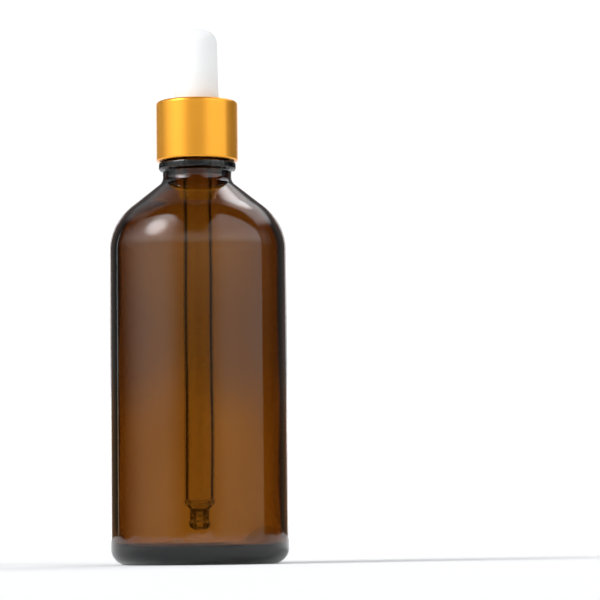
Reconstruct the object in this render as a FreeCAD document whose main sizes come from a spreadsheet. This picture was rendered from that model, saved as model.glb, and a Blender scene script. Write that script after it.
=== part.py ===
import FreeCAD, Part
import Sketcher
import math
import os

# A 100 ml dropper bottle: glass bottle, glass pipette, rubber bulb, threaded inner cap and metal collar.
# Lengths are in millimetres. The axis is Z, the origin is the centre of the foot, and the bottle stands on z = 0.

SIZES = {
    # glass bottle
    "body_r": 22.25,
    "glass_height": 112.5,
    "shoulder_drop": 27.1,
    "shoulder_round": 14.2,
    "neck_drop": 16.55,
    "neck_r": 8.75,
    "neck_round": 2.6,
    "wall": 2.0,
    "floor_thick": 3.0,
    "push_up": 1.2,
    "foot_inner_r": 15.0,
    "foot_r": 17.0,
    "heel_round": 4.0,
    "inner_heel_round": 1.2,
    "bead_r": 9.8,
    "bead_low_drop": 14.0,
    "bead_high_drop": 11.7,
    "bead_under_round": 0.9,
    "bead_top_round": 0.6,
    "finish_r": 8.1,
    "bore_r": 6.1,
    "lip_round": 0.6,
    # screw thread, right-handed, one start
    "thread_pitch": 3.0,
    "thread_turns": 1.5,
    "thread_drop": 7.9,
    "thread_r": 8.9,
    "thread_base": 2.0,
    "thread_crest": 0.9,
    "cap_thread_r": 8.4,
    "cap_thread_base": 1.8,
    "cap_thread_crest": 0.7,
    "cap_thread_offset": 1.3,
    # inner cap and collar
    "cap_bore_r": 9.1,
    "cap_outer_r": 9.9,
    "cap_top_thick": 1.0,
    "cap_hole_r": 5.05,
    "collar_gap": 0.05,
    "collar_thick": 0.35,
    "collar_drop": 11.4,
    "collar_round": 0.8,
    "collar_roll_r": 9.3,
    "cap_lift_gap": 0.03,
    # rubber bulb
    "flange_r": 7.8,
    "flange_thick": 2.3,
    "groove_r": 4.9,
    "bulb_foot_r": 5.55,
    "bulb_top_r": 5.25,
    "bulb_height": 18.5,
    "bulb_crown": 0.35,
    "bulb_round": 3.6,
    "bulb_wall": 1.4,
    "bulb_neck_bore_r": 3.3,
    "head_recess_r": 5.9,
    "head_recess_low": 0.45,
    "keeper_r": 5.3,
    "seal_gap": 0.02,
    # pipette
    "tube_r": 3.8,
    "tube_bore_r": 3.0,
    "head_r": 5.75,
    "head_thick": 1.25,
    "head_cone": 3.2,
    "tip_z": 8.6,
    "tip_tube_z": 14.9,
    "tip_waist_r": 2.4,
    "tip_ring_r": 2.62,
    "ball_r": 2.72,
    "orifice_r": 1.05,
}


class Size:
    """A length with the spreadsheet expression that gives it."""

    def __init__(self, value, text):
        self.value = float(value)
        self.text = text

    def __add__(self, other):
        other = size(other)
        return Size(self.value + other.value, f"({self.text} + {other.text})")

    def __sub__(self, other):
        other = size(other)
        return Size(self.value - other.value, f"({self.text} - {other.text})")

    def __mul__(self, other):
        other = size(other)
        return Size(self.value * other.value, f"({self.text} * {other.text})")

    def __truediv__(self, other):
        other = size(other)
        return Size(self.value / other.value, f"({self.text} / {other.text})")


def size(x):
    """x as a Size: a name in the spreadsheet, a Size, or a plain number."""
    if isinstance(x, Size):
        return x
    if isinstance(x, str):
        return Size(SIZES[x], f"Sizes.{x}")
    return Size(x, f"{float(x):.6f}")


def make_sheet(doc):
    """Put every size in a spreadsheet cell with its name as the alias."""
    sheet = doc.addObject("Spreadsheet::Sheet", "Sizes")
    for row, (name, value) in enumerate(SIZES.items(), start=1):
        sheet.set(f"A{row}", name)
        sheet.set(f"B{row}", str(value))
        sheet.setAlias(f"B{row}", name)
    return sheet


def origin_plane(body, role):
    """The body's own origin plane with this role, such as XZ_Plane."""
    for feature in body.Origin.OriginFeatures:
        if feature.Role == role:
            return feature
    raise ValueError(role)


def new_sketch(body, name, role="XZ_Plane"):
    """An empty sketch on one of the body's origin planes."""
    sketch = body.newObject("Sketcher::SketchObject", name)
    sketch.AttachmentSupport = (origin_plane(body, role), [""])
    sketch.MapMode = "FlatFace"
    return sketch


def bind(sketch, constraint, name, text):
    """Add a named dimension and bind it to the spreadsheet."""
    index = sketch.addConstraint(constraint)
    sketch.renameConstraint(index, name)
    sketch.setExpression(f"Constraints.{name}", text)


def place_point(sketch, geo, pos, x, y, name):
    """Hold one point at x, y measured from the sketch's origin."""
    if x.value == 0:
        sketch.addConstraint(Sketcher.Constraint("PointOnObject", geo, pos, -2))
    else:
        bind(sketch, Sketcher.Constraint("DistanceX", -1, 1, geo, pos, x.value), f"{name}_x", x.text)
    if y.value == 0:
        sketch.addConstraint(Sketcher.Constraint("PointOnObject", geo, pos, -1))
    else:
        bind(sketch, Sketcher.Constraint("DistanceY", -1, 1, geo, pos, y.value), f"{name}_y", y.text)


def tangent_points(before, corner, after, radius):
    """Where a round of this radius meets the two sides of a corner, and its centre."""
    one = (before - corner).normalize()
    two = (after - corner).normalize()
    half = one.getAngle(two) / 2
    run = radius / math.tan(half)
    middle = (one + two).normalize()
    centre = corner + middle * (radius / math.sin(half))
    return corner + one * run, corner + two * run, centre


def corner_arc(start, end, centre, corner):
    """The short arc round a corner. Returns (arc, whether it runs from start to end)."""
    radius = (start - centre).Length
    circle = Part.Circle(centre, FreeCAD.Vector(0, 0, 1), radius)
    a = math.atan2(start.y - centre.y, start.x - centre.x)
    b = math.atan2(end.y - centre.y, end.x - centre.x)
    forward = (b - a) % (2 * math.pi) < math.pi
    if not forward:
        a, b = b, a
    return Part.ArcOfCircle(circle, a, a + (b - a) % (2 * math.pi)), forward


def profile(sketch, corners):
    """Draw a closed outline through corners of (x, y, round), each held by named dimensions."""
    rows = [(size(c[0]), size(c[1]), size(c[2]) if len(c) > 2 else None) for c in corners]
    count = len(rows)
    at = [FreeCAD.Vector(x.value, y.value, 0) for x, y, _ in rows]
    cuts = []
    for i, (_, _, radius) in enumerate(rows):
        if radius is None:
            cuts.append((at[i], at[i], None))
        else:
            cuts.append(tangent_points(at[i - 1], at[i], at[(i + 1) % count], radius.value))
    lines = []
    for i in range(count):
        segment = Part.LineSegment(cuts[i][1], cuts[(i + 1) % count][0])
        lines.append(sketch.addGeometry(segment, False))
    for i, (x, y, radius) in enumerate(rows):
        before, after, name = lines[i - 1], lines[i], f"corner_{i}"
        if radius is None:
            sketch.addConstraint(Sketcher.Constraint("Coincident", before, 2, after, 1))
            place_point(sketch, after, 1, x, y, name)
            continue
        arc, forward = corner_arc(cuts[i][0], cuts[i][1], cuts[i][2], at[i])
        round_geo = sketch.addGeometry(arc, False)
        point = sketch.addGeometry(Part.Point(at[i]), True)
        place_point(sketch, point, 1, x, y, name)
        sketch.addConstraint(Sketcher.Constraint("PointOnObject", point, 1, before))
        sketch.addConstraint(Sketcher.Constraint("PointOnObject", point, 1, after))
        first, last = (1, 2) if forward else (2, 1)
        sketch.addConstraint(Sketcher.Constraint("Tangent", before, 2, round_geo, first))
        sketch.addConstraint(Sketcher.Constraint("Tangent", round_geo, last, after, 1))
        bind(sketch, Sketcher.Constraint("Radius", round_geo, radius.value), f"{name}_round", radius.text)


def new_body(doc, label):
    """A PartDesign body whose label is the node's name."""
    body = doc.addObject("PartDesign::Body", label)
    body.Label = label
    body.Placement = FreeCAD.Placement()
    return body


def turned(doc, label, corners):
    """A body turned about Z from one closed outline in the XZ plane, x being the radius."""
    body = new_body(doc, label)
    sketch = new_sketch(body, f"{label}_outline")
    profile(sketch, corners)
    turn = body.newObject("PartDesign::Revolution", f"{label}_turn")
    turn.Profile = sketch
    turn.ReferenceAxis = (sketch, ["V_Axis"])
    turn.Angle = 360
    sketch.Visibility = False
    return body


def add_thread(body, name, corners, pitch, turns):
    """Sweep a ridge outline up a right-handed helix about Z and join it to the body."""
    sketch = new_sketch(body, f"{name}_outline")
    profile(sketch, corners)
    helix = body.newObject("PartDesign::AdditiveHelix", name)
    helix.Profile = sketch
    helix.ReferenceAxis = (sketch, ["V_Axis"])
    helix.Mode = "pitch-turns-angle"
    helix.setExpression("Pitch", size(pitch).text)
    helix.setExpression("Turns", size(turns).text)
    helix.LeftHanded = False
    sketch.Visibility = False
    body.Tip = helix
    return helix


def ridge(root_r, crest_r, bite, z, base, crest):
    """A thread ridge's outline: its foot bites into the wall, so the ridge joins it."""
    root_r, crest_r, z = size(root_r), size(crest_r), size(z)
    half_base, half_crest = size(base) / 2, size(crest) / 2
    foot = root_r + bite
    return [
        (foot, z - half_base),
        (root_r, z - half_base),
        (crest_r, z - half_crest, 0.2),
        (crest_r, z + half_crest, 0.2),
        (root_r, z + half_base),
        (foot, z + half_base),
    ]


def make_bottle(doc):
    """Glass bottle: round shoulder, collar bead under the cap, screw finish and a pushed-up foot."""
    lip = size("glass_height")
    outer = size("body_r")
    inner = outer - "wall"
    shoulder = lip - "shoulder_drop"
    neck = lip - "neck_drop"
    floor = size("push_up") + "floor_thick"
    corners = [
        (0, "push_up"),
        ("foot_inner_r", "push_up", 2.0),
        ("foot_r", 0, 1.0),
        (outer, 0, "heel_round"),
        (outer, shoulder, "shoulder_round"),
        ("neck_r", neck, "neck_round"),
        ("neck_r", lip - "bead_low_drop", 0.25),
        ("bead_r", lip - "bead_low_drop", "bead_under_round"),
        ("bead_r", lip - "bead_high_drop", "bead_top_round"),
        ("finish_r", lip - "bead_high_drop", 0.3),
        ("finish_r", lip, "lip_round"),
        ("bore_r", lip, "lip_round"),
        ("bore_r", neck - size("wall") * 0.235, 3.0),
        (inner, shoulder - size("wall") * 0.49, size("shoulder_round") - "wall"),
        (inner, floor, "inner_heel_round"),
        (0, floor),
    ]
    body = turned(doc, "glass_bottle", corners)
    z = lip - "thread_drop"
    outline = ridge("finish_r", "thread_r", -0.5, z, "thread_base", "thread_crest")
    add_thread(body, "bottle_thread", outline, "thread_pitch", "thread_turns")
    return body


def make_inner_cap(doc):
    """Moulded inner cap: plain skirt, inside thread, and a top with a hole for the bulb."""
    lip = size("glass_height")
    under = lip + "flange_thick" + size("cap_lift_gap") * 2
    top = under + "cap_top_thick"
    low = lip - "collar_drop" + "collar_thick" + "collar_gap"
    corners = [
        ("cap_hole_r", under, 0.15),
        ("cap_bore_r", under, 0.4),
        ("cap_bore_r", low, 0.15),
        ("cap_outer_r", low, 0.25),
        ("cap_outer_r", top, size("collar_round") - "collar_thick"),
        ("cap_hole_r", top, 0.15),
    ]
    body = turned(doc, "inner_cap", corners)
    z = lip - "thread_drop" - "cap_thread_offset"
    outline = ridge("cap_bore_r", "cap_thread_r", 0.4, z, "cap_thread_base", "cap_thread_crest")
    add_thread(body, "cap_thread", outline, "thread_pitch", "thread_turns")
    return body


def make_collar(doc):
    """Metal collar pressed over the inner cap, with its lower edge rolled in under the skirt."""
    lip = size("glass_height")
    under = lip + "flange_thick" + size("cap_lift_gap") * 2 + "cap_top_thick" + "collar_gap"
    top = under + "collar_thick"
    low = lip - "collar_drop"
    inner = size("cap_outer_r") + "collar_gap"
    outer = inner + "collar_thick"
    small = size("collar_round") - "collar_thick"
    corners = [
        (size("cap_hole_r") + 0.15, under),
        (inner, under, small),
        (inner, low + "collar_thick", 0.12),
        ("collar_roll_r", low + "collar_thick", 0.12),
        ("collar_roll_r", low, 0.12),
        (outer, low, 0.42),
        (outer, top, "collar_round"),
        (size("cap_hole_r") + 0.15, top, 0.15),
    ]
    return turned(doc, "collar_shell", corners)


def make_bulb(doc):
    """Hollow rubber bulb: a flange that seals on the lip, a groove for the cap's top, a domed body."""
    lip = size("glass_height")
    low = lip + "seal_gap"
    flange_top = lip + "flange_thick" + "cap_lift_gap"
    cap_top = lip + "flange_thick" + size("cap_lift_gap") * 2 + "cap_top_thick" + "collar_gap" + "collar_thick"
    body_low = cap_top + "cap_lift_gap"
    top = cap_top + "bulb_height"
    recess_low = low + "head_recess_low"
    recess_top = recess_low + "head_thick" + size("seal_gap") * 2
    inner_foot = size("bulb_foot_r") - "bulb_wall"
    inner_top = size("bulb_top_r") - "bulb_wall"
    corners = [
        ("keeper_r", low, 0.12),
        ("flange_r", low, 0.3),
        ("flange_r", flange_top, 0.3),
        ("groove_r", flange_top, 0.2),
        ("groove_r", body_low, 0.15),
        ("bulb_foot_r", body_low, 0.5),
        ("bulb_top_r", top - "bulb_crown", "bulb_round"),
        (0, top),
        (0, top - "bulb_wall"),
        (inner_top, top - "bulb_wall" - "bulb_crown", size("bulb_round") - "bulb_wall"),
        (inner_foot, body_low + 1.2, 0.5),
        ("bulb_neck_bore_r", body_low + 0.4, 0.5),
        ("bulb_neck_bore_r", recess_top, 0.12),
        ("head_recess_r", recess_top, 0.2),
        ("head_recess_r", recess_low, 0.2),
        ("keeper_r", recess_low, 0.12),
    ]
    return turned(doc, "rubber_bulb", corners)


def make_pipette(doc):
    """Drawn glass tube: a flared head held in the bulb, and a ringed tip ending in a ball."""
    lip = size("glass_height")
    head_low = lip + size("seal_gap") * 2 + "head_recess_low"
    head_top = head_low + "head_thick"
    cone = head_top - "head_cone"
    shoulder = size("tip_tube_z")
    tip = size("tip_z")
    ring_in = size("tip_waist_r")
    corners = [
        ("tube_bore_r", head_top, 0.4),
        ("head_r", head_top, 0.5),
        ("head_r", head_low, 0.5),
        (size("head_r") - 0.85, head_low, 0.3),
        ("tube_r", cone, 2.0),
        ("tube_r", shoulder, 1.0),
        (ring_in, shoulder - 1.1, 0.4),
        (ring_in, shoulder - 1.5, 0.12),
        ("tip_ring_r", shoulder - 1.75, 0.15),
        (ring_in, shoulder - 2.0, 0.12),
        (ring_in, shoulder - 2.7, 0.12),
        ("tip_ring_r", shoulder - 2.95, 0.15),
        (ring_in, shoulder - 3.2, 0.12),
        (ring_in, shoulder - 3.9, 0.2),
        ("ball_r", shoulder - 4.4, 0.5),
        ("ball_r", tip + 0.9, 1.1),
        (size("orifice_r") + 0.45, tip, 0.35),
        ("orifice_r", tip, 0.2),
        ("orifice_r", shoulder - 2.6, 0.8),
        ("tube_bore_r", shoulder + 0.9, 1.0),
    ]
    return turned(doc, "pipette", corners)


def check(doc):
    """Stop if any object is in error or any body has no valid solid."""
    for obj in doc.Objects:
        if "Invalid" in obj.State or "Error" in obj.State:
            raise RuntimeError(f"{obj.Name} is in error: {obj.State}")
    for obj in doc.Objects:
        shape = getattr(obj, "Shape", None)
        if shape is None or obj.TypeId.startswith("App::"):
            continue
        if shape.isNull() or not shape.isValid():
            raise RuntimeError(f"{obj.Name} has no valid shape")


def main():
    doc = FreeCAD.newDocument("dropper_bottle")
    make_sheet(doc)
    doc.recompute()
    makers = [make_bottle, make_inner_cap, make_collar, make_bulb, make_pipette]
    bodies = [make(doc) for make in makers]
    doc.recompute()
    check(doc)
    os.makedirs("parts", exist_ok=True)
    for body in bodies:
        if len(body.Shape.Solids) != 1:
            raise RuntimeError(f"{body.Label} has {len(body.Shape.Solids)} solids")
        body.Shape.exportStep(f"parts/{body.Label}.step")
        box = body.Shape.BoundBox
        print(body.Label, "volume", round(body.Shape.Volume, 1), "mm3, z", round(box.ZMin, 2), round(box.ZMax, 2))


main()
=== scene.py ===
# %% [markdown]
# # A 100 ml amber dropper bottle
# This lesson dresses a finished mechanical model. The part is a blown glass bottle with a screw neck,
# a gold metal collar over a moulded cap, a white rubber bulb and a drawn glass pipette.
# The mechanical model fixes where every piece is. The lesson builds smooth, finely cut surfaces in the
# same places and gives each one a material with the small detail that the real one has.
# The scene is in metres, and the outlines are written in millimetres. Z is up, and the bottle stands
# on z = 0.

# %% Start
import bmesh
import math
import bpy
from mathutils import Matrix, Vector


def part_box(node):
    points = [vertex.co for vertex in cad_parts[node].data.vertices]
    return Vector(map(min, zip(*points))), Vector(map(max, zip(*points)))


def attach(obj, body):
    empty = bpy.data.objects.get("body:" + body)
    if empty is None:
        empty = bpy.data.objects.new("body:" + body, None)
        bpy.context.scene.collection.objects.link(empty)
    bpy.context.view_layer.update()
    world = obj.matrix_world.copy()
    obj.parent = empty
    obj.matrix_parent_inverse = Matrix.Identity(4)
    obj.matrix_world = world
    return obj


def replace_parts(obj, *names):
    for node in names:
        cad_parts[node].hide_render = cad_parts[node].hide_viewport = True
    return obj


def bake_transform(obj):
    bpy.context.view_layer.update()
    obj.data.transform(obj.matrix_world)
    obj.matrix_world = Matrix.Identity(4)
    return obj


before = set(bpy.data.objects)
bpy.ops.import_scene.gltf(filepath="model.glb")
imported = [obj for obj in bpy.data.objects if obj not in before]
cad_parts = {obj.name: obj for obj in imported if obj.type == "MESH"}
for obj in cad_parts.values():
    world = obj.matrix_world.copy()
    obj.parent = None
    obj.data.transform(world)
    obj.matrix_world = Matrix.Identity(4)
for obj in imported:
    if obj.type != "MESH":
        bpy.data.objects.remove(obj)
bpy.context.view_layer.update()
MM = 0.001
FINE = 2
print("nodes:", sorted(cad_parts))

# %% [markdown]
# ## Measuring the model
# Every height below is counted from the lip or the foot of the glass, or from an end of the collar,
# the bulb or the pipette. Those planes and the body's radius come from the model's own boxes, so the
# surfaces follow them. The smaller sizes, such as the bead and the walls, are repeated one by one.

# %% Measure the model
GLASS_LOW, GLASS_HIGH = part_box("glass_bottle")
CAP_LOW, CAP_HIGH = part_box("inner_cap")
COLLAR_LOW, COLLAR_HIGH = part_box("collar_shell")
BULB_LOW, BULB_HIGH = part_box("rubber_bulb")
TUBE_LOW, TUBE_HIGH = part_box("pipette")
LIP = GLASS_HIGH.z / MM
BODY_R = GLASS_HIGH.x / MM
print("glass from", round(GLASS_LOW.z / MM, 2), "to", round(LIP, 2), "mm, radius", round(BODY_R, 2))
print("collar from", round(COLLAR_LOW.z / MM, 2), "to", round(COLLAR_HIGH.z / MM, 2), "mm")

# %% [markdown]
# ## Rounds
# Round glassware is described by half of its section. A corner is given as radius, height and a round,
# and the helper replaces it with a short arc. A bevel modifier could round the corners too, but here
# each one has its own radius, as on a drawing.

# %% Rounds
SMALL_STEPS = 6
LARGE_STEPS = 14


def arc_between(before, corner, after, radius):
    """Points of a round that replaces a corner."""
    steps = SMALL_STEPS if radius < 1 else LARGE_STEPS
    one = (before - corner).normalized()
    two = (after - corner).normalized()
    half = one.angle(two) / 2
    run = radius / math.tan(half)
    start = corner + one * run
    end = corner + two * run
    centre = corner + (one + two).normalized() * (radius / math.sin(half))
    a = start - centre
    b = end - centre
    total = a.angle(b)
    points = []
    for i in range(steps + 1):
        t = i / steps
        w0 = math.sin((1 - t) * total) / math.sin(total)
        w1 = math.sin(t * total) / math.sin(total)
        points.append(centre + a * w0 + b * w1)
    return points


square = arc_between(Vector((5, 0)), Vector((0, 0)), Vector((0, 5)), 2)
print("a 2 mm round starts", round(square[0].length, 2), "mm before a square corner")

# %% [markdown]
# ## Outlines
# An outline joins the rounds with straight runs. A long run gets evenly spaced rings, and one more
# close to each end. Smooth shading bends light over the whole gap between two rings, so without the
# close ones the flat wall of the real thing would look swollen.

# %% Outlines
SHORT_RUN = 0.3
END_GAP = 0.12


def run_between(start, end, longest):
    """Points inside a straight run: one close to each end, and the rest evenly spaced."""
    length = (end - start).length
    if length < SHORT_RUN:
        return []
    close = min(END_GAP, length * 0.2)
    points = [start.lerp(end, close / length)]
    count = int(length / longest)
    points += [start.lerp(end, (i + 1) / (count + 1)) for i in range(count)]
    points.append(start.lerp(end, 1 - close / length))
    return points


def outline(corners, longest=2.5, closed=True):
    """A fine outline in millimetres, as (radius, height) vectors, from (radius, height, round) corners.

    longest is the widest gap between rings, or a function that gives it for a run's two ends.
    """
    at = [Vector((c[0], c[1])) for c in corners]
    turns = []
    count = len(at)
    for i, c in enumerate(corners):
        inside = closed or 0 < i < count - 1
        if len(c) > 2 and c[2] and inside:
            turn = arc_between(at[i - 1], at[i], at[(i + 1) % count], c[2])
        else:
            turn = [at[i]]
        turns.append(turn)
    points = []
    for i, turn in enumerate(turns):
        points += turn
        if closed or i < count - 1:
            ends = turn[-1], turns[(i + 1) % count][0]
            points += run_between(*ends, longest(*ends) if callable(longest) else longest)
    return points


plain = run_between(Vector((0, 0)), Vector((0, 10)), 2.5)
print("a straight run of 10 mm gets", len(plain), "rings between its ends")

# %% [markdown]
# ## Turning
# Turning the outline about the axis gives the surface. A lathe, or the turning mould of a glass
# machine, makes the real shape in the same way. Blender's Screw modifier would do it as well, but
# the lesson makes the rings itself, so that a function can push single points out for a screw thread.
# A closed outline gives a closed skin.

# %% Turning
def turned(name, points, segments, closed=True, shift=None):
    """A surface of revolution about Z. shift(radius, angle, height) may return a new radius in mm."""
    verts = []
    rings = []
    for p in points:
        if p.x < 1e-6:
            rings.append([len(verts)])
            verts.append((0, 0, p.y * MM))
            continue
        ring = []
        for k in range(segments):
            angle = 2 * math.pi * k / segments
            r = shift(p.x, angle, p.y) if shift else p.x
            ring.append(len(verts))
            verts.append((r * math.cos(angle) * MM, r * math.sin(angle) * MM, p.y * MM))
        rings.append(ring)
    faces = []
    pairs = list(zip(rings, rings[1:]))
    if closed:
        pairs.append((rings[-1], rings[0]))
    for a, b in pairs:
        for k in range(segments):
            n = (k + 1) % segments
            if len(a) == 1 and len(b) == 1:
                break
            if len(a) == 1:
                faces.append((a[0], b[n], b[k]))
            elif len(b) == 1:
                faces.append((a[k], a[n], b[0]))
            else:
                faces.append((a[k], a[n], b[n], b[k]))
    mesh = bpy.data.meshes.new(name)
    mesh.from_pydata(verts, [], faces)
    mesh.validate()
    obj = bpy.data.objects.new(name, mesh)
    bpy.context.scene.collection.objects.link(obj)
    mesh.shade_smooth()
    return obj


print("turning helper ready, fineness", FINE)

# %% [markdown]
# ## Checking a skin
# Light bends at a glass surface, so the surface has to know which side is air. The faces are turned to
# point out of the wall, which is judged by the sign of the volume that they enclose. The count of open
# edges says if the skin is closed, and the volume can be set beside the mechanical model's.

# %% Checking a skin
def face_outwards(obj):
    """Turn the faces so that a closed surface's normals point out of its wall."""
    bm = bmesh.new()
    bm.from_mesh(obj.data)
    bmesh.ops.recalc_face_normals(bm, faces=bm.faces)
    if bm.calc_volume(signed=True) < 0:
        bmesh.ops.reverse_faces(bm, faces=bm.faces)
    volume = bm.calc_volume(signed=True)
    open_edges = sum(1 for e in bm.edges if len(e.link_faces) != 2)
    bm.to_mesh(obj.data)
    bm.free()
    print(obj.name, len(obj.data.polygons), "faces, open edges", open_edges)
    print("    volume", round(volume / MM ** 3, 1), "mm3")
    return obj


print("skin check ready")

# %% [markdown]
# ## Material arithmetic
# Patterns are sums, products and thresholds of noise. They can be built by hand in the node editor,
# but long sums are hard to read there. A small class wraps a node's output, so the lesson can write
# them as ordinary arithmetic, and each operator adds the Math node that it needs.

# %% Arithmetic on wires
class Wire:
    """One output socket that can be used in arithmetic."""

    def __init__(self, graph, socket):
        self.graph = graph
        self.socket = socket

    def calc(self, operation, *others):
        """One Math node of this operation, with this wire as its first input."""
        inputs = dict(enumerate((self, *others)))
        return self.graph.node("ShaderNodeMath", {"operation": operation}, inputs)["Value"]

    def __add__(self, other):
        return self.calc("ADD", other)

    def __sub__(self, other):
        return self.calc("SUBTRACT", other)

    def __mul__(self, other):
        return self.calc("MULTIPLY", other)

    def __truediv__(self, other):
        return self.calc("DIVIDE", other)

    def __pow__(self, other):
        return self.calc("POWER", other)

    def __radd__(self, other):
        return self.calc("ADD", other)

    def __rsub__(self, other):
        return (self * -1.0).calc("ADD", other)

    def __rtruediv__(self, other):
        return (self ** -1.0) * other

    def __neg__(self):
        return self * -1.0

    def smooth(self, low, high):
        """0 below low and 1 above high, with a soft step between."""
        inputs = {"Value": self, "From Min": low, "From Max": high}
        return self.graph.node("ShaderNodeMapRange", {"interpolation_type": "SMOOTHSTEP"}, inputs)["Result"]

    def between(self, low, full, still, high):
        """1 from full to still, with soft steps from low and to high."""
        return self.smooth(low, full) * (1.0 - self.smooth(still, high))


print("a wire can:", ", ".join(name.strip("_") for name in vars(Wire) if callable(vars(Wire)[name])))

# %% [markdown]
# ## One method for every node
# Any other node comes from one method. It takes the node's type, the settings to fix first, and the
# values or wires of its inputs. The same class serves the materials and the studio's light.

# %% Node trees
class Graph:
    """A node tree, with one method that makes any node."""

    def __init__(self, tree):
        self.tree = tree

    def link(self, slot, value):
        """Link a wire to an input, or set the input's own value."""
        if isinstance(value, Wire):
            self.tree.links.new(value.socket, slot)
        else:
            slot.default_value = value

    def node(self, kind, settings=None, inputs=None):
        """A node of this type: settings first, then inputs by name or number. Gives its outputs by name."""
        made = self.tree.nodes.new(kind)
        for key, value in (settings or {}).items():
            setattr(made, key, value)
        for key, value in (inputs or {}).items():
            self.link(made.inputs[key], value)
        return {o.name: Wire(self, o) for o in made.outputs if o.enabled}

    def mix(self, mask, one, two):
        """Colour one where mask is 0 and colour two where it is 1."""
        return self.node("ShaderNodeMix", {"data_type": "RGBA"}, {0: mask, 6: one, 7: two})["Result"]


print("node tree helper ready")

# %% [markdown]
# ## A finish
# Every finish of the bottle is one Principled surface with small detail in its colour, its roughness
# and its relief. The patterns use the place on the piece itself, so they need no unwrapping and move
# with the piece. Glass also gets a volume, because its colour is inside the wall.

# %% Finish helper
class Finish(Graph):
    """A node material with a Principled surface."""

    def __init__(self, name):
        self.material = bpy.data.materials.new(name)
        self.material.use_nodes = True
        super().__init__(self.material.node_tree)
        self.surface = self.tree.nodes["Principled BSDF"]
        self.output = self.tree.nodes["Material Output"]
        self.place = self.node("ShaderNodeTexCoord")["Object"]

    def set(self, **inputs):
        """Fill inputs of the Principled surface. An underscore in a name stands for a space."""
        for key, value in inputs.items():
            self.link(self.surface.inputs[key.replace("_", " ")], value)

    def scaled(self, x, y, z):
        """The place on the piece, stretched along each axis."""
        return self.node("ShaderNodeMapping", inputs={"Vector": self.place, "Scale": (x, y, z)})["Vector"]

    def noise(self, scale, detail=2.0, rough=0.5, at=None):
        """Cloudy noise around 0.5."""
        inputs = {"Vector": at or self.place, "Scale": scale, "Detail": detail, "Roughness": rough}
        return self.node("ShaderNodeTexNoise", inputs=inputs)["Fac"]

    def bump(self, height, distance, strength=1.0):
        """Small relief on the surface."""
        inputs = {"Height": height, "Distance": distance, "Strength": strength}
        self.set(Normal=self.node("ShaderNodeBump", inputs=inputs)["Normal"])

    def inside(self, colour, density):
        """Fill a closed shell with an absorbing volume."""
        volume = self.node("ShaderNodeVolumeAbsorption", inputs={"Color": colour, "Density": density})
        self.link(self.output.inputs["Volume"], volume["Volume"])

    def height(self):
        """The Z of the place on the piece, in millimetres."""
        return self.node("ShaderNodeSeparateXYZ", inputs={0: self.place})["Z"] * (1 / MM)

    def report(self):
        """Print the finish's name and how many nodes it took."""
        print("finish:", self.material.name, "with", len(self.tree.nodes), "nodes")


def wear(obj, finish):
    """Give a piece its finish."""
    obj.data.materials.clear()
    obj.data.materials.append(finish.material)


print("finish helpers ready")

# %% [markdown]
# ## Amber glass
# Amber bottle glass is soda-lime glass melted with iron and sulphur. It stops blue light almost at
# once, then green, so a thin wall looks honey-brown and a thick edge looks nearly black. The colour
# is inside the glass, so the wall is a closed shell filled with an absorbing volume.
# The skin is fire-polished. It has only faint haze and fine ripples from the mould.

# %% Amber glass finish
amber = Finish("amber_glass")
haze = amber.noise(60, 3, 0.6).smooth(0.52, 0.8)
ripple = amber.noise(1, 3, 0.5, at=amber.scaled(55, 55, 22))
amber.set(Base_Color=(1, 1, 1, 1), Transmission_Weight=1.0, IOR=1.52)
amber.set(Roughness=haze * 0.02 + 0.018)
amber.bump(ripple, 0.00012, 0.5)
amber.inside((0.655, 0.462, 0.0, 1), 1450.0)
amber.report()

# %% [markdown]
# ## Clear glass
# The pipette is drawn from a tube of clear glass and its ends are worked in a flame. Drawing leaves
# fine straight streaks along the tube, so the noise is stretched along Z. Even clear glass has a
# faint green cast in a thick edge, which a weak absorbing volume gives.

# %% Clear glass finish
clear = Finish("clear_glass")
streak = clear.noise(1, 2, 0.5, at=clear.scaled(300, 300, 12))
clear.set(Base_Color=(1, 1, 1, 1), Transmission_Weight=1.0, IOR=1.47)
clear.set(Roughness=streak.smooth(0.5, 0.9) * 0.03 + 0.02)
clear.bump(streak, 0.00003, 0.4)
clear.inside((0.85, 0.95, 0.9, 1), 60.0)
clear.report()

# %% [markdown]
# ## White rubber
# The bulb is compression-moulded rubber, white with filler. Its skin is matt and slightly uneven,
# with pores too small to see one by one. A little light passes under the skin and softens the shade
# at its turned-away side, so the finish has some subsurface scattering.

# %% White rubber finish
rubber = Finish("white_rubber")
cloud = rubber.noise(90, 4, 0.6)
pores = rubber.noise(2600, 2, 0.5)
rubber.set(Base_Color=rubber.mix(cloud, (0.85, 0.85, 0.85, 1), (0.89, 0.89, 0.89, 1)))
rubber.set(Roughness=cloud * 0.15 + 0.42, Subsurface_Weight=0.35, Subsurface_Radius=(1.0, 0.9, 0.85))
rubber.set(Subsurface_Scale=0.0015, IOR=1.45)
rubber.bump(pores, 0.00004, 0.35)
rubber.report()

# %% [markdown]
# ## Gold anodised aluminium
# The collar is a deep-drawn aluminium shell. It is brushed to a satin sheen, anodised and dyed gold.
# The dye sits in a porous oxide layer above the metal, so part of the light is scattered in the
# colour and part is mirrored: the finish is mostly metallic, and the rest is a matt coloured base.
# The brush marks run around the collar, so their noise is fine along Z and long around it.

# %% Gold anodised finish
gold = Finish("gold_anodised")
turning = gold.noise(1, 3, 0.6, at=gold.scaled(40, 40, 2600))
patch = gold.noise(70, 3, 0.5)
gold.set(Metallic=0.66, Base_Color=gold.mix(patch, (1.0, 0.39, 0.035, 1), (1.0, 0.44, 0.045, 1)))
gold.set(Roughness=turning * 0.04 + patch * 0.03 + 0.21, Specular_IOR_Level=0.2)
gold.bump(turning, 0.000006, 0.1)
gold.report()

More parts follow.
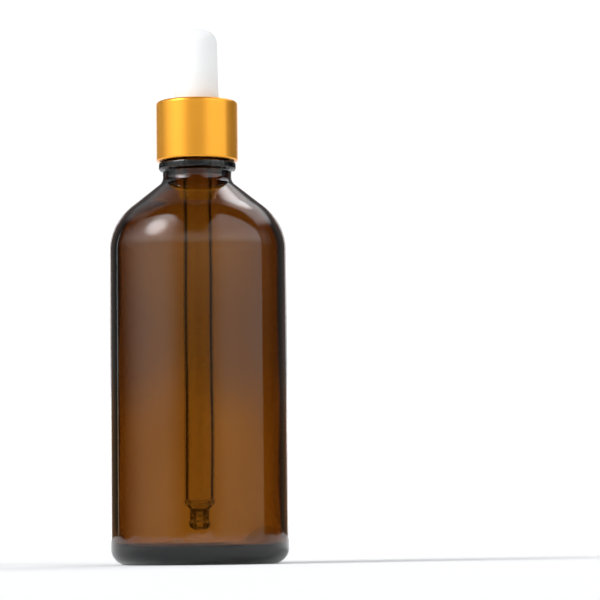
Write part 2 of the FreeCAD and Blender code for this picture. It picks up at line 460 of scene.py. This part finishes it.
# %% [markdown]
# ## Cap plastic
# Under the metal is an injection-moulded screw cap of natural polypropylene. It shows only at the
# collar's lower edge and when the dropper is lifted out. Its surface is smooth with a fine mould
# grain, and it glows a little where it is thin.

# %% Cap plastic finish
plastic = Finish("cap_plastic")
grain = plastic.noise(400, 3, 0.6)
plastic.set(Base_Color=plastic.mix(grain, (0.80, 0.79, 0.75, 1), (0.86, 0.85, 0.82, 1)))
plastic.set(Roughness=grain * 0.15 + 0.35, Subsurface_Weight=0.15, Subsurface_Scale=0.001)
plastic.bump(grain, 0.00003, 0.3)
plastic.report()

# %% [markdown]
# ## The bottle
# The body is a plain cylinder with a round shoulder, a neck, a bead and a screw finish. The foot is
# pushed up, so the bottle stands on a narrow ring. The inside follows the outside but is never quite
# as true, because only the outside touches the mould: the wall is a little uneven.

# %% Bottle outline
WALL = 2.0
PUSH_UP = 1.2
FLOOR = PUSH_UP + 3.0
NECK_R = 8.75
BEAD_R = 9.8
BEAD_LOW = LIP - 14.0
BEAD_HIGH = LIP - 11.7
FINISH_R = 8.1
MOUTH_R = 6.1
bottle_corners = [
    (0, PUSH_UP),
    (15.0, PUSH_UP, 2.0),
    (17.0, 0, 1.0),
    (BODY_R, 0, 4.0),
    (BODY_R, LIP - 27.1, 14.2),
    (NECK_R, LIP - 16.55, 2.6),
    (NECK_R, BEAD_LOW, 0.25),
    (BEAD_R, BEAD_LOW, 0.9),
    (BEAD_R, BEAD_HIGH, 0.6),
    (FINISH_R, BEAD_HIGH, 0.3),
    (FINISH_R, LIP, 0.6),
    (MOUTH_R, LIP, 0.6),
    (MOUTH_R, LIP - 17.02, 3.0),
    (BODY_R - WALL, LIP - 28.08, 12.2),
    (BODY_R - WALL, FLOOR, 1.2),
    (0, FLOOR),
]
print(len(bottle_corners), "corners from the push-up under the foot to the floor inside")

# %% [markdown]
# ## Thread and uneven wall
# The screw thread is one right-handed ridge that climbs 3 mm in each turn and fades out at both ends.
# It could be a swept profile joined to the neck. Pushing the neck's own points outwards gives the
# same ridge without a seam, which glass would show. The inside of a blown bottle is never quite
# true, so long shallow waves bend what is seen through it a little.

# %% Thread and uneven wall
PITCH = 3.0
TURNS = 1.5
THREAD_START = LIP - 7.9
THREAD_HALF = 1.0
THREAD_SLOPE = 0.55
THREAD_DEPTH = 0.8
THREAD_FADE = 0.08
UNEVEN = 0.05
UNEVEN_FROM = 8.0


def thread_height(angle, z):
    """How far the screw thread stands out of the finish, in mm."""
    best = 0.0
    for turn in (0, 1):
        along = angle / (2 * math.pi) + turn
        if along > TURNS:
            continue
        off = abs(z - (THREAD_START + PITCH * along))
        ridge = max(0.0, min(1.0, (THREAD_HALF - off) / THREAD_SLOPE))
        fade = min(1.0, along / THREAD_FADE, (TURNS - along) / THREAD_FADE)
        best = max(best, ridge * ridge * (3 - 2 * ridge) * max(0.0, fade))
    return THREAD_DEPTH * best


def bottle_wall(r, angle, z):
    """The thread on the outside, and a slightly uneven inside."""
    if abs(r - FINISH_R) < 0.01 and LIP - 10 < z < LIP - 1:
        return r + thread_height(angle, z)
    inside = r < BODY_R - WALL + 0.01 and FLOOR + 1 < z < BEAD_LOW
    if inside and r > UNEVEN_FROM:
        wave = math.sin(2 * angle + 0.055 * z) + 0.6 * math.sin(3 * angle - 0.09 * z + 1.0)
        wave += 0.5 * math.sin(5 * angle + 0.16 * z + 2.0)
        return r + UNEVEN * wave
    return r


half_turn_on = THREAD_START + PITCH / 2
print("half a turn on, the thread stands", thread_height(math.pi, half_turn_on), "mm out")

# %% [markdown]
# ## Blowing the bottle
# The neck and its thread are pressed first, and the body is then blown into a mould, so the thread is
# sharp and the body has soft turns. The outline is turned in many steps, and the helper above lifts
# the finish where the thread runs. The result is one closed skin around the wall, which the
# absorbing volume needs. It takes the place of the mechanical model's bottle.

# %% Build the bottle
THREAD_GAP = 0.6
PLAIN_GAP = 2.4


def ring_gap(start, end):
    """Close rings where the thread runs, wider ones on the plain walls. In mm."""
    outside = min(start.x, end.x) > FINISH_R - 0.1
    on_finish = outside and min(start.y, end.y) > BEAD_HIGH - 0.3
    return (THREAD_GAP if on_finish else PLAIN_GAP) / FINE


points = outline(bottle_corners, longest=ring_gap, closed=False)
bottle = face_outwards(turned("bottle_glass", points, 96 * FINE, closed=False, shift=bottle_wall))
wear(bottle, amber)
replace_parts(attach(bottle, "bottle"), "glass_bottle")

# %% [markdown]
# ## The pipette
# A dropper pipette is a glass tube flared at one end, so that the rubber grips it, and drawn down at
# the other. Its tip has two small rings and ends in a ball, which lets a drop hang and fall cleanly.
# Inside, the bore narrows to a small opening. One closed outline goes down the outside and back up
# the bore.

# %% Build the pipette
HEAD = TUBE_HIGH.z / MM
TIP = TUBE_LOW.z / MM
END = TIP + 6.3
TUBE_R = 3.8
TUBE_BORE_R = 3.0
HEAD_R = 5.75
HEAD_LOW = HEAD - 1.25
WAIST_R = 2.4
RING_R = 2.62
BALL_R = 2.72
OPENING_R = 1.05


def tip_ring(middle):
    """Corners of one small ring on the tip, seen from above down."""
    return [
        (WAIST_R, middle + 0.25, 0.12),
        (RING_R, middle, 0.15),
        (WAIST_R, middle - 0.25, 0.12),
    ]


pipette_corners = [
    (TUBE_BORE_R, HEAD, 0.4),
    (HEAD_R, HEAD, 0.5),
    (HEAD_R, HEAD_LOW, 0.5),
    (HEAD_R - 0.85, HEAD_LOW, 0.3),
    (TUBE_R, HEAD - 3.2, 2.0),
    (TUBE_R, END, 1.0),
    (WAIST_R, END - 1.1, 0.4),
    *tip_ring(END - 1.75),
    *tip_ring(END - 2.95),
    (WAIST_R, END - 3.9, 0.2),
    (BALL_R, END - 4.4, 0.5),
    (BALL_R, TIP + 0.9, 1.1),
    (1.5, TIP, 0.35),
    (OPENING_R, TIP, 0.2),
    (OPENING_R, END - 2.6, 0.8),
    (TUBE_BORE_R, END + 0.9, 1.0),
]
pipette = face_outwards(turned("pipette_glass", outline(pipette_corners), 48 * FINE))
wear(pipette, clear)
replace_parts(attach(pipette, "dropper"), "pipette")

# %% [markdown]
# ## The bulb
# The bulb is one piece of rubber: a hollow teat above the cap and a flange below its top, which the
# cap presses onto the lip as a seal. The pipette's flared head snaps into a groove inside the flange.
# Squeezing moves only the upper part, but here the bulb is one still surface.

# %% Build the bulb
CAP_TOP = COLLAR_HIGH.z / MM
TOP = BULB_HIGH.z / MM
FLANGE = BULB_LOW.z / MM
FLANGE_R = 7.8
FLANGE_TOP = LIP + 2.33
KEEPER_R = 5.3
GROOVE_R = 4.9
BULB_NECK_R = 3.3
RECESS_R = 5.9
RECESS_LOW = FLANGE + 0.45
RECESS_HIGH = FLANGE + 1.74
bulb_corners = [
    (KEEPER_R, FLANGE, 0.12),
    (FLANGE_R, FLANGE, 0.3),
    (FLANGE_R, FLANGE_TOP, 0.3),
    (GROOVE_R, FLANGE_TOP, 0.2),
    (GROOVE_R, CAP_TOP + 0.03, 0.15),
    (5.55, CAP_TOP + 0.03, 0.5),
    (5.25, TOP - 0.35, 3.6),
    (0, TOP),
    (0, TOP - 1.4),
    (3.85, TOP - 1.75, 2.2),
    (4.15, CAP_TOP + 1.23, 0.5),
    (BULB_NECK_R, CAP_TOP + 0.43, 0.5),
    (BULB_NECK_R, RECESS_HIGH, 0.12),
    (RECESS_R, RECESS_HIGH, 0.2),
    (RECESS_R, RECESS_LOW, 0.2),
    (KEEPER_R, RECESS_LOW, 0.12),
]
bulb = face_outwards(turned("bulb_rubber", outline(bulb_corners, longest=0.8), 48 * FINE))
wear(bulb, rubber)
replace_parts(bulb, "rubber_bulb")
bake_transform(bulb)

# %% [markdown]
# ## The collar
# The metal collar is drawn from thin sheet into a cup with a hole in its top for the bulb. Its lower
# edge is rolled in, which hides the cut edge and grips the plastic cap. The top corner has a soft
# round from the drawing punch. A thin closed outline gives both faces of the sheet.

# %% Build the collar
LOW = COLLAR_LOW.z / MM
SHEET = 0.35
R_OUT = COLLAR_HIGH.x / MM
R_IN = R_OUT - SHEET
HOLE_R = 5.2
ROLL_R = 9.3
collar_corners = [
    (HOLE_R, CAP_TOP - SHEET),
    (R_IN, CAP_TOP - SHEET, 0.45),
    (R_IN, LOW + SHEET, 0.12),
    (ROLL_R, LOW + SHEET, 0.12),
    (ROLL_R, LOW, 0.12),
    (R_OUT, LOW, 0.42),
    (R_OUT, CAP_TOP, 0.8),
    (HOLE_R, CAP_TOP, 0.15),
]
collar = face_outwards(turned("collar_gold", outline(collar_corners, longest=1.0), 96 * FINE))
wear(collar, gold)
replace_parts(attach(collar, "cap"), "collar_shell")

# %% [markdown]
# ## The inner cap
# The plastic cap carries the thread that runs on the glass. The mechanical model already has that
# thread at its full shape, so the lesson keeps its surface as it is and only gives it the finish.

# %% Dress the inner cap
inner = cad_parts["inner_cap"]
wear(inner, plastic)
print("inner cap keeps", len(inner.data.polygons), "faces")
print("    height", round((CAP_HIGH.z - CAP_LOW.z) / MM, 2), "mm")

# %% [markdown]
# ## Floor and backdrop
# Coloured glass shows what is behind it, so a lit white sheet stands behind the bottle. The sheet
# is brighter low down and has a soft dip half way up, which the amber shows as a darker band across
# the body. It is only a little wider than the view: a much wider one would put white lines along the
# edges of the glass. Beyond it the studio is dark, which draws the black edges. It stands well back,
# so that a camera can also go round behind the bottle. The floor is plain white paper, lifted a
# little by a very faint glow of its own.

# %% Floor and backdrop
def sheet(name, corners, finish):
    """A plain flat panel of the studio."""
    mesh = bpy.data.meshes.new(name)
    mesh.from_pydata(corners, [], [(0, 1, 2, 3)])
    obj = bpy.data.objects.new(name, mesh)
    bpy.context.scene.collection.objects.link(obj)
    obj.data.materials.append(finish.material)
    print("panel:", name)


paper = Finish("white_paper")
fibre = paper.noise(30, 4, 0.6)
paper.set(Base_Color=paper.mix(fibre, (0.92, 0.92, 0.92, 1), (0.95, 0.95, 0.95, 1)), Roughness=0.9)
paper.set(Emission_Color=(1, 1, 1, 1), Emission_Strength=0.06)
paper.report()
glow = Finish("lit_backdrop")
up = glow.height()
fade = up.smooth(46, 326) * 0.353
dip = up.between(84, 137, 155, 230) * 0.247
glow.set(Base_Color=(0, 0, 0, 1), Specular_IOR_Level=0.0)
glow.set(Emission_Color=glow.mix(fade + dip, (1, 1, 1, 1), (0, 0, 0, 1)), Emission_Strength=1.7)
glow.report()
PAPER_HALF = 2.0
BACK_LEFT, BACK_RIGHT = -0.59, 0.67
BACK_LOW, BACK_HIGH = -0.02, 0.6
BACK_AWAY = 1.4
paper_corners = [
    (-PAPER_HALF, -PAPER_HALF, 0),
    (PAPER_HALF, -PAPER_HALF, 0),
    (PAPER_HALF, PAPER_HALF, 0),
    (-PAPER_HALF, PAPER_HALF, 0),
]
sheet("floor", paper_corners, paper)
back_corners = [
    (BACK_LEFT, BACK_AWAY, BACK_LOW),
    (BACK_RIGHT, BACK_AWAY, BACK_LOW),
    (BACK_RIGHT, BACK_AWAY, BACK_HIGH),
    (BACK_LEFT, BACK_AWAY, BACK_HIGH),
]
sheet("backdrop", back_corners, glow)

# %% [markdown]
# ## Studio light
# Two tall oval softboxes stand left and right, a little in front of the bottle, and show on the
# shoulder as two rounded lobes with a dark gap between them. The left one has a bright core, which
# makes the main highlight. Two strips and one small lamp hang above and behind, for the slopes
# near the neck. A faint belt of light low in front fills the brushed gold, and a thin line on the far
# left draws a bright thread down the edge of the body.
#
# Area lamps could do this, but each soft edge would need its own lamp. All of it is drawn straight
# onto the sky around the scene instead. Bearing is counted in degrees from the front, to the right,
# and height in degrees above the horizon.

# %% Directions on the sky
world = bpy.data.worlds.new("studio")
bpy.context.scene.world = world
world.use_nodes = True
sky = Graph(world.node_tree)
ray = sky.node("ShaderNodeSeparateXYZ", inputs={0: sky.node("ShaderNodeTexCoord")["Generated"]})
bearing = ray["X"].calc("ARCTAN2", -ray["Y"]) * math.degrees(1)
high = ray["Z"].calc("ARCSINE") * math.degrees(1)
level = high.smooth(-2, 0.5)
print("sky directions take", len(sky.tree.nodes), "nodes")

# %% [markdown]
# ## Softboxes
# A softbox is an oval with a narrow soft edge, cut straight at its sides. The lobes on the shoulder
# are its reflections: where the glass curves strongly, a small patch shows a wide piece of sky.

# %% Softboxes
def oval(centre, top, half_width, half_height):
    """1 inside an oval on the sky, with a narrow soft edge. All in degrees."""
    across = (bearing - centre) / half_width
    along = (high - top) / half_height
    return 1.0 - ((across * across + along * along) ** 0.5).smooth(0.93, 1.02)


def blob(one, two, at_one, at_two, reach):
    """1 at a point and 0 at a squared distance of reach from it."""
    far = (one - at_one) * (one - at_one) + (two - at_two) * (two - at_two)
    return 1.0 - far.smooth(0, reach)


# The bright core is a little wider than it is high.
SQUEEZE = 0.8 ** 0.5
right_box = oval(48, 2, 46, 58) * bearing.between(4, 40, 89.5, 92) * level
left_box = oval(-60, 2, 60, 58) * bearing.between(-120, -66, -50, -14) * level
left_glow = left_box * high.smooth(12, 44) * bearing.between(-100, -70, -58, -26)
left_core = blob(bearing * SQUEEZE, high, -64 * SQUEEZE, 35, 340)
front = bearing.between(-30, -15, 5, 20) * high.between(2, 14, 16, 34)
belt = bearing.between(-125, -110, 100, 115) * high.between(2, 14, 16, 36)
edge_line = bearing.between(-132.5, -131, -129.5, -128) * level * (1.0 - high.smooth(8, 25))
behind = (1.0 - bearing.between(-150, -120, 115, 145)) * level
print("softboxes bring the sky to", len(sky.tree.nodes), "nodes")

# %% [markdown]
# ## Lamps on the ceiling
# A straight strip on a ceiling is not straight in degrees. So the overhead lights are drawn on a flat
# ceiling one unit up: a direction is divided by its own height, which gives a place east and north.

# %% Ceiling lamps
ceiling = 1.0 / ray["Z"].calc("MAXIMUM", 0.02)
overhead = ray["Z"].smooth(0.02, 0.1)
east = ray["X"] * ceiling
north = ray["Y"] * ceiling
along = north.between(0.12, 0.3, 1.1, 1.7) * overhead
right_strip = east.between(0.2, 0.5, 1.2, 1.8) * along
left_strip = east.between(-1.5, -1.0, -0.5, -0.2) * along
lamp = blob(east, north, 0.5, 0.64, 0.1) * overhead
print("ceiling lamps bring the sky to", len(sky.tree.nodes), "nodes")

# %% [markdown]
# ## Mixing the light
# Each shape gets its own strength, like a dimmer on each lamp. The boxes are a little stronger higher
# up. Low down they take the warm colour of the room, and above it they are a cool daylight white.

# %% Mix the light
lift = 1.0 + high.smooth(7, 16) * 0.9
light = 0.02 + right_box * lift * 0.9 + left_box * lift
for shape, strength in (
    (behind, 0.13),
    (left_glow, 2.4),
    (left_core, 7.0),
    (front, 0.5),
    (belt, 0.4),
    (edge_line, 0.8),
    (right_strip, 1.7),
    (left_strip, 0.35),
    (lamp, 4.2),
):
    light = light + shape * strength
ROOM_WARM = (1.1, 0.85, 0.52, 1)
DAYLIGHT = (0.84, 0.99, 1.0, 1)
NEAR_WHITE = (0.97, 0.98, 1.0, 1)
warm = sky.mix(high.smooth(1.6, 3.9), ROOM_WARM, DAYLIGHT)
colour = sky.mix(high.smooth(8, 20), warm, NEAR_WHITE)
shade = sky.tree.nodes["Background"]
sky.link(shade.inputs["Strength"], light)
sky.link(shade.inputs["Color"], colour)
print("studio light with", len(sky.tree.nodes), "nodes")

# %% [markdown]
# ## Camera
# The camera stands low, just above the floor, and looks slightly up, so the foot is nearly a straight
# line and the underside of the collar just shows. A long lens keeps the bottle's sides parallel.

# %% Camera
def look(place, yaw, pitch, roll):
    """Camera at place, turned right by yaw, up by pitch, and rolled, in degrees."""
    y, p = math.radians(yaw), math.radians(pitch)
    forward = Vector((math.sin(y) * math.cos(p), math.cos(y) * math.cos(p), math.sin(p)))
    turn = forward.to_track_quat("-Z", "Y").to_matrix().to_4x4()
    turn = turn @ Matrix.Rotation(math.radians(roll), 4, "Z")
    return Matrix.Translation(place) @ turn


LENS = 165.8
CAMERA_AT = Vector((0, -0.6927, 0.009))
YAW, PITCH_UP, ROLL = 2.114, 4.693, -0.62
data = bpy.data.cameras.new("camera")
data.lens = LENS
data.sensor_width = 36
data.clip_start = 0.05
camera = bpy.data.objects.new("camera", data)
bpy.context.scene.collection.objects.link(camera)
camera.matrix_world = look(CAMERA_AT, YAW, PITCH_UP, ROLL)
bpy.context.scene.camera = camera
bpy.context.scene.view_settings.view_transform = "Standard"
print("camera", round(data.lens, 1), "mm at", [round(v, 3) for v in camera.matrix_world.translation])

# %% [markdown]
